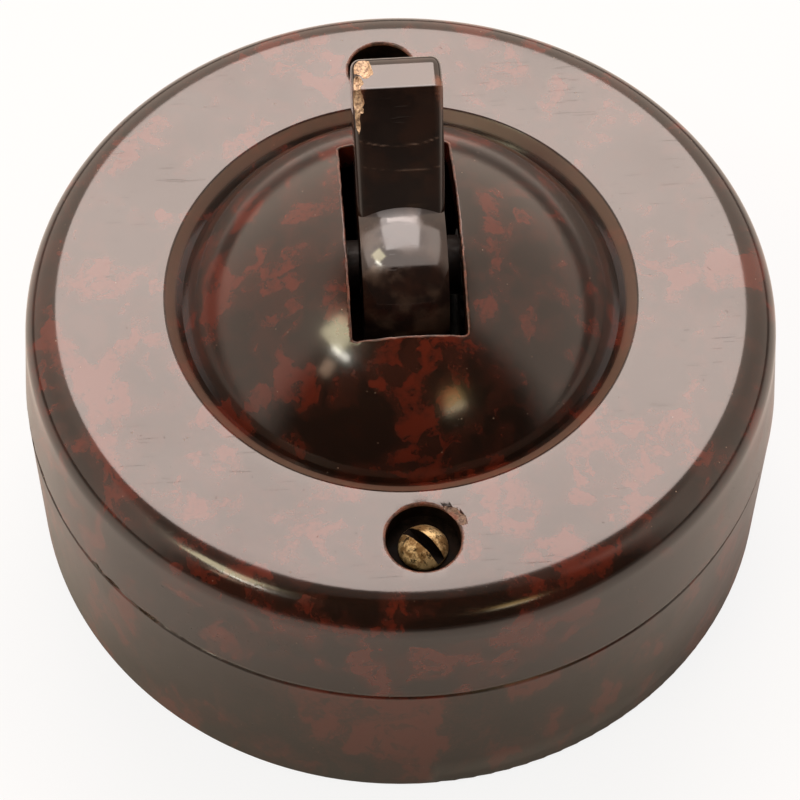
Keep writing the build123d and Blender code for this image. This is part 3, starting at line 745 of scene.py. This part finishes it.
def lever_outline(inset):
    """The lever seen from its side, as (y, z) points, drawn in by an inset."""
    half = LEVER_HALF[1]
    start, end = (half - inset, 2.0), (-half + inset, 2.0)
    corners = [(half, 2.0), (half, LEVER_BACK_END), LEVER_NOSE, (-half, LEVER_FRONT_END), (-half, 2.0)]
    inner = [start]
    for before, corner, after in zip(corners, corners[1:], corners[2:]):
        u = (Vector(before) - Vector(corner)).normalized()
        v = (Vector(after) - Vector(corner)).normalized()
        inner.append(tuple(Vector(corner) + (u + v).normalized() * inset / math.sin(u.angle(v) / 2)))
    inner.append(end)
    points = [start]
    radii = (NOSE_BACK_ROUND, NOSE_ROUND, NOSE_FRONT_ROUND)
    counts = (60, 22, 18, 110)
    for i, radius in enumerate(radii):
        bend = rounded(inner[i], inner[i + 1], inner[i + 2], max(0.03, radius - inset), 14)
        points += straight(points[-1], bend[0], counts[i])[1:] + bend
    points += straight(points[-1], end, counts[3])[1:]
    return points + straight(end, start, 24)[:24]


def lever_mesh(finish):
    """The lever as a row of outlines across its width, drawn in towards both sides to round them."""
    bm = bmesh.new()
    half = LEVER_HALF[0]
    stations = []
    for i in range(11):
        turn = math.pi / 2 * (1 - i / 10)
        stations.append((-half + EDGE_ROUND * (1 - math.sin(turn)), EDGE_ROUND * (1 - math.cos(turn))))
    flat = half - EDGE_ROUND
    across = [(-flat + 2 * flat * i / 44, 0.0) for i in range(1, 44)]
    stations = stations + across + [(-x, inset) for x, inset in reversed(stations)]
    loops = []
    for x, inset in stations:
        loops.append([bm.verts.new((x, y, z)) for y, z in lever_outline(inset)])
    for first, second in zip(loops, loops[1:]):
        bridge_loops(bm, first, second)
    bm.faces.new(loops[0])
    bm.faces.new(loops[-1])
    return new_piece("dolly_lever", bm, finish)


def paint_wear(mesh):
    """Marks where the dolly is rubbed, dusty and cracked, for its finish."""
    names = ("rubbed", "dusty", "cracked")
    marks = {name: mesh.attributes.new(name, "FLOAT", "POINT").data for name in names}
    for i, vert in enumerate(mesh.vertices):
        x, y, z = vert.co / MM
        down = LEVER_FRONT_END - z
        edge = min(math.hypot(x + 3.7, y + 2.9), 1.2 * math.hypot(x - 3.7, y + 2.6))
        marks["rubbed"][i].value = max(0.0, 1 - edge / 1.7) * max(0.0, min(1.0, 1 - down / 5.5))
        on_hub = math.hypot(y, z) < HUB_R + 0.3
        marks["dusty"][i].value = min(1.0, max(0.15, -y / 5)) if on_hub else 0.1
        on_front = y < -2.9 and 10 < z < 18.2
        upper = abs(down - 5.3 + 0.055 * x * x)
        lower = abs(down - 7.6 + 0.03 * (x - 1) ** 2) + 0.03
        marks["cracked"][i].value = max(0.0, 1 - min(upper, lower) / 0.09) if on_front else 0.0


def dolly_shell(finish, raw):
    """The dolly: a rounded lever on a ball hub with two flats, bored for its pin and plunger."""
    lever = lever_mesh(finish)
    steps = 64
    turn = math.asin(HUB_WIDTH / 2 / HUB_R)
    profile = [(0, -HUB_WIDTH / 2)]
    for i in range(steps + 1):
        a = -turn + 2 * turn * i / steps
        profile.append((HUB_R * math.cos(a), HUB_R * math.sin(a)))
    profile.append((0, HUB_WIDTH / 2))
    hub = lathe("hub", profile, finish, segments=240)
    hub.data.transform(Matrix.Rotation(math.pi / 2, 4, "Y"))
    cut(lever, [hub], "UNION")
    pin_hole = rod("pin_hole", (0, 0), PIN_HOLE_R, -HUB_WIDTH, HUB_WIDTH, finish)
    pin_hole.data.transform(Matrix.Rotation(math.pi / 2, 4, "Y"))
    bore = rod("bore", (0, 0), BORE_R, -2 * HUB_R, -BORE_START, finish)
    tools = [pin_hole, bore]
    chips = [
        ((-2.85, -0.95, 19.65), (0.95, 1.3, 0.5), (26, 0, 0), 31),
        ((-3.4, -2.35, 18.85), (0.5, 0.9, 0.5), (26, 0, 0), 33),
        ((-3.5, -2.95, 17.5), (0.6, 0.4, 1.3), (0, 4, 0), 37),
        ((-3.6, -3.0, 15.6), (0.48, 0.3, 1.6), (0, 3, 0), 41),
        ((-3.1, -3.02, 16.6), (0.22, 0.1, 0.3), (0, 0, 0), 43),
    ]
    for place, size, angles, seed in chips:
        tools.append(chip_tool("chip", place, size, angles, seed, raw))
    cut(lever, tools)
    paint_wear(lever.data)
    lever.data.transform(Matrix.Translation(PIVOT * MM) @ Matrix.Rotation(math.radians(-TILT), 4, "X"))
    smooth(lever)
    return lever


def cover_screw(end, finish, grime):
    """A domed brass screw with a wide worn slot, seated in its recess."""
    rim = HEAD_HEIGHT - HEAD_CROWN
    crown = arc((HEAD_R, rim), (HEAD_R * 0.6, rim + HEAD_CROWN * 0.72), (0, HEAD_HEIGHT), 24)
    profile = [
        (0, -SHANK_LENGTH),
        (SHANK_R - 0.3, -SHANK_LENGTH),
        (SHANK_R, -SHANK_LENGTH + 0.3),
        (SHANK_R, 0),
        (HEAD_R - 0.1, 0),
        (HEAD_R, 0.1),
        (HEAD_R, rim),
        *crown,
        (0, HEAD_HEIGHT),
    ]

    def batter(place):
        if place.z <= 0:
            return Vector((0, 0, 0))
        return Vector((0, 0, 0.05 * wobble(place, 1.3, 50 + end) + 0.02 * wobble(place, 3.5, 60)))

    side = "back" if end > 0 else "front"
    screw = lathe(f"cover_screw_{side}", profile, finish, segments=160, ripple=batter)
    turn = math.radians(SLOT_ANGLES[side])
    bm = bmesh.new()
    loops = []
    for x in [-4 + 8 * i / 80 for i in range(81)]:
        wide = 0.46 + 0.05 * wobble((x, 0, 0), 1.7, 71)
        half = [(wide + 0.2, 2.2), (wide, 1.4), (wide - 0.05, 0.35)]
        outline = [(-y, z) for y, z in half] + half[::-1]
        loops.append([bm.verts.new((x, y, z)) for y, z in outline])
    for first, second in zip(loops, loops[1:]):
        bridge_loops(bm, first, second)
    bm.faces.new(loops[0])
    bm.faces.new(loops[-1])
    bmesh.ops.rotate(bm, verts=bm.verts, matrix=Matrix.Rotation(turn, 3, "Z"))
    cut(screw, [new_piece("driver_slot", bm, grime)])
    screw.data.transform(Matrix.Translation(Vector((0, end * SCREW_Y, HEAD_SEAT_Z)) * MM))
    smooth(screw, 30)
    return screw


# The object

bakelite = mottled_bakelite("bakelite_cover", 0.9, 0.0)
base_finish = mottled_bakelite("bakelite_base", 0.55, 0.06)
worn = worn_bakelite("worn_edge")
broken_seam = broken_bakelite("broken_seam", srgb(24, 16, 13), srgb(82, 62, 52), srgb(58, 32, 25))
broken = broken_bakelite("broken_cover", srgb(62, 40, 33), srgb(134, 110, 97), srgb(122, 62, 46))
raw = broken_bakelite("broken_dolly", srgb(84, 60, 42), srgb(176, 150, 120), srgb(120, 86, 56))
dolly_finish = dolly_moulding()
brass = aged_metal("brass_screw", srgb(236, 214, 168), srgb(150, 122, 84), srgb(44, 32, 24), 0.6, 0.72)
grime = dull_insulation("grime", srgb(28, 20, 16), srgb(12, 8, 6), 1.2, 0.06, ior=1.12)

cover = cover_shell(bakelite, worn, broken, broken_seam, grime)
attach(cover, "housing")
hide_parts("cover")

base = base_shell(base_finish, broken_seam)
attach(base, "housing")
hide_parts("base")

dolly = dolly_shell(dolly_finish, raw)
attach(dolly, "dolly_body")
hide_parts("dolly")

for end in (-1, 1):
    screw = cover_screw(end, brass, grime)
    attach(screw, "housing")
    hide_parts("cover_screws")

METALS = [
    ("brass_hardware", (222, 182, 112), (180, 136, 80), (84, 58, 34), 0.3),
    ("terminal_brass", (224, 186, 118), (186, 144, 86), (92, 66, 40), 0.2),
    ("plunger_brass", (230, 192, 124), (190, 148, 90), (96, 70, 42), 0.15),
    ("contact_copper", (216, 138, 98), (170, 96, 64), (74, 42, 32), 0.3),
    ("steel_hardware", (176, 174, 170), (132, 130, 126), (70, 58, 50), 0.3),
    ("bridge_metal", (170, 170, 168), (124, 124, 122), (62, 54, 48), 0.35),
    ("spring_steel", (168, 170, 174), (120, 122, 126), (60, 56, 54), 0.2),
]
finishes = {
    "rocker_fibre": dull_insulation("rocker_fibre", srgb(92, 44, 30), srgb(58, 26, 19), 1.1, 0.05),
    "spacer_fibre": dull_insulation("spacer_fibre", srgb(42, 26, 21), srgb(24, 15, 12), 1.6, 0.04),
    "pitch": dull_insulation("pitch", srgb(30, 26, 24), srgb(12, 11, 11), 0.9, 0.12),
}
for name, bright, dull, tarnish, amount in METALS:
    finishes[name] = aged_metal(name, srgb(*bright), srgb(*dull), srgb(*tarnish), amount)
for row in frame["record"]["subparts"]:
    if row["material_slot"] in finishes:
        piece = nodes[row["node"]]
        piece.data.materials.clear()
        piece.data.materials.append(finishes[row["material_slot"]])

# Floor, light and camera


def floor_look():
    """A plain pale floor that polished faces don't mirror far out, and that looks palest to the camera."""
    paint = Paint("floor")
    rays = paint.node("LightPath").outputs
    tone = paint.ease(paint.noise(0.004, detail=2.0), 0.3, 0.7, 0.86, 0.9)
    unseen = paint.math("MULTIPLY", rays["Is Glossy Ray"], paint.ease(paint.radius(), 110, 260))
    tone = paint.math("MULTIPLY", tone, paint.math("SUBTRACT", 1.0, paint.math("MULTIPLY", unseen, 0.85)))
    material = paint.finish(tone, 0.9)
    lift = paint.math("MULTIPLY", rays["Is Camera Ray"], 0.86)
    surface = paint.mixed(lift, paint.shader.outputs[0], paint.node("Emission").outputs[0])
    paint.connect(paint.tree.nodes["Material Output"].inputs["Surface"], surface)
    return material


bm = bmesh.new()
bmesh.ops.create_circle(bm, cap_ends=True, segments=96, radius=4000)
floor = new_piece("floor", bm, floor_look())
floor.location.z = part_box("base")[0].z - 0.01 * MM


def soft_light(name, direction, distance, size, strength, tint):
    """A panel that faces the switch from a direction. Strength is its radiance."""
    lamp = bpy.data.lights.new(name, "AREA")
    lamp.shape = "RECTANGLE"
    lamp.size, lamp.size_y = size
    lamp.energy = strength * math.pi * size[0] * size[1]
    lamp.color = tint
    panel = bpy.data.objects.new(name, lamp)
    back = Vector(direction).normalized()
    panel.location = Vector((0, 0, 0.03)) + back * distance
    panel.rotation_euler = (-back).to_track_quat("-Z", "Y").to_euler()
    panel.visible_camera = False
    bpy.context.scene.collection.objects.link(panel)
    return panel


def toward(azimuth, elevation):
    """A direction from the switch, with azimuth from +X towards +Y."""
    a, e = math.radians(azimuth), math.radians(elevation)
    return Vector((math.cos(a) * math.cos(e), math.sin(a) * math.cos(e), math.sin(e)))


soft_light("softbox", toward(86, 55.5), 1.2, (0.66, 0.52), 6.4, (1.0, 0.84, 0.775))
soft_light("lamp_left", (-0.49, -0.27, 0.82), 1.0, (0.24, 0.22), 7.5, (1.0, 0.9, 0.58))
soft_light("lamp_left_strip", (-0.5, -0.418, 0.762), 1.0, (0.16, 0.035), 26.0, (1.0, 0.96, 0.84))
soft_light("lamp_left_low", (-0.6, -0.47, 0.65), 1.0, (0.09, 0.13), 4.0, (1.0, 0.66, 0.45))
lamp_right = soft_light("lamp_right", (0.35, -0.755, 0.55), 1.0, (0.15, 0.14), 3.9, (1.0, 0.64, 0.25))
right_strip = soft_light("lamp_right_strip", (0.36, -0.795, 0.485), 1.0, (0.16, 0.035), 8.0, (1.0, 0.87, 0.6))
# Reflected in the dolly's round hub alone
hub_panel = soft_light("hub_panel", (0, 0.17, 0.98), 0.8, (0.62, 0.66), 5.5, (1.0, 0.9, 0.86))
hub_haze = soft_light("hub_haze", (0, -0.12, 1), 0.8, (1.7, 0.85), 2.6, (1.0, 0.86, 0.78))


def light_only(lamps, pieces):
    """Keeps the lamps' light to these pieces."""
    group = bpy.data.collections.new(f"lit_by_{lamps[0].name}")
    for piece in pieces:
        group.objects.link(piece)
    for lamp in lamps:
        lamp.light_linking.receiver_collection = group


light_only([hub_panel, hub_haze], [dolly])
light_only([lamp_right, right_strip], [cover, base])


def surround():
    """Pale walls at the back and sides, a dim ceiling and a dark front, all white to the camera."""
    world = bpy.data.worlds.new("surround")
    world.use_nodes = True
    world.node_tree.nodes.clear()
    graph = Graph(world.node_tree)
    x, y, z = graph.node("SeparateXYZ", Vector=graph.node("TexCoord").outputs["Generated"]).outputs
    level = graph.math("ADD", graph.math("MULTIPLY", x, x), graph.math("MULTIPLY", y, y))
    level = graph.math("SQRT", level)
    forward = graph.math("DIVIDE", y, graph.math("MAXIMUM", level, 0.001))
    walls = graph.ease(forward, -0.62, -0.3, 0.03, 1.2)
    behind = graph.ease(forward, 0.35, 0.95, 0.0, 0.5)
    ceiling = graph.ease(z, 0.8, 0.95, 1.0, 0.2)
    glow = graph.math("MULTIPLY", graph.math("ADD", walls, behind), ceiling)
    room = graph.node("Background", Color=(1.0, 0.8, 0.66, 1), Strength=glow).outputs[0]
    pale = graph.node("Background", Color=(1, 1, 1, 1)).outputs[0]
    seen = graph.node("LightPath").outputs["Is Camera Ray"]
    graph.node("OutputWorld", Surface=graph.mixed(seen, room, pale))
    return world


bpy.context.scene.world = surround()
bpy.context.scene.view_settings.view_transform = "Standard"


def photographer():
    """A long lens in front of the switch and above it."""
    data = bpy.data.cameras.new("camera")
    data.sensor_width = 36
    data.lens = 103.73
    data.clip_start = 0.01
    camera = bpy.data.objects.new("camera", data)
    turn = Matrix.Rotation(math.radians(LOOK_TURN), 3, "Z")
    tip_down = Matrix.Rotation(math.radians(90 - LOOK_DOWN), 3, "X")
    roll = Matrix.Rotation(math.radians(LOOK_ROLL), 3, "Z")
    camera.rotation_euler = (turn @ tip_down @ roll).to_euler()
    camera.location = CAMERA_PLACE * MM
    bpy.context.scene.collection.objects.link(camera)
    return camera


bpy.context.scene.camera = photographer()
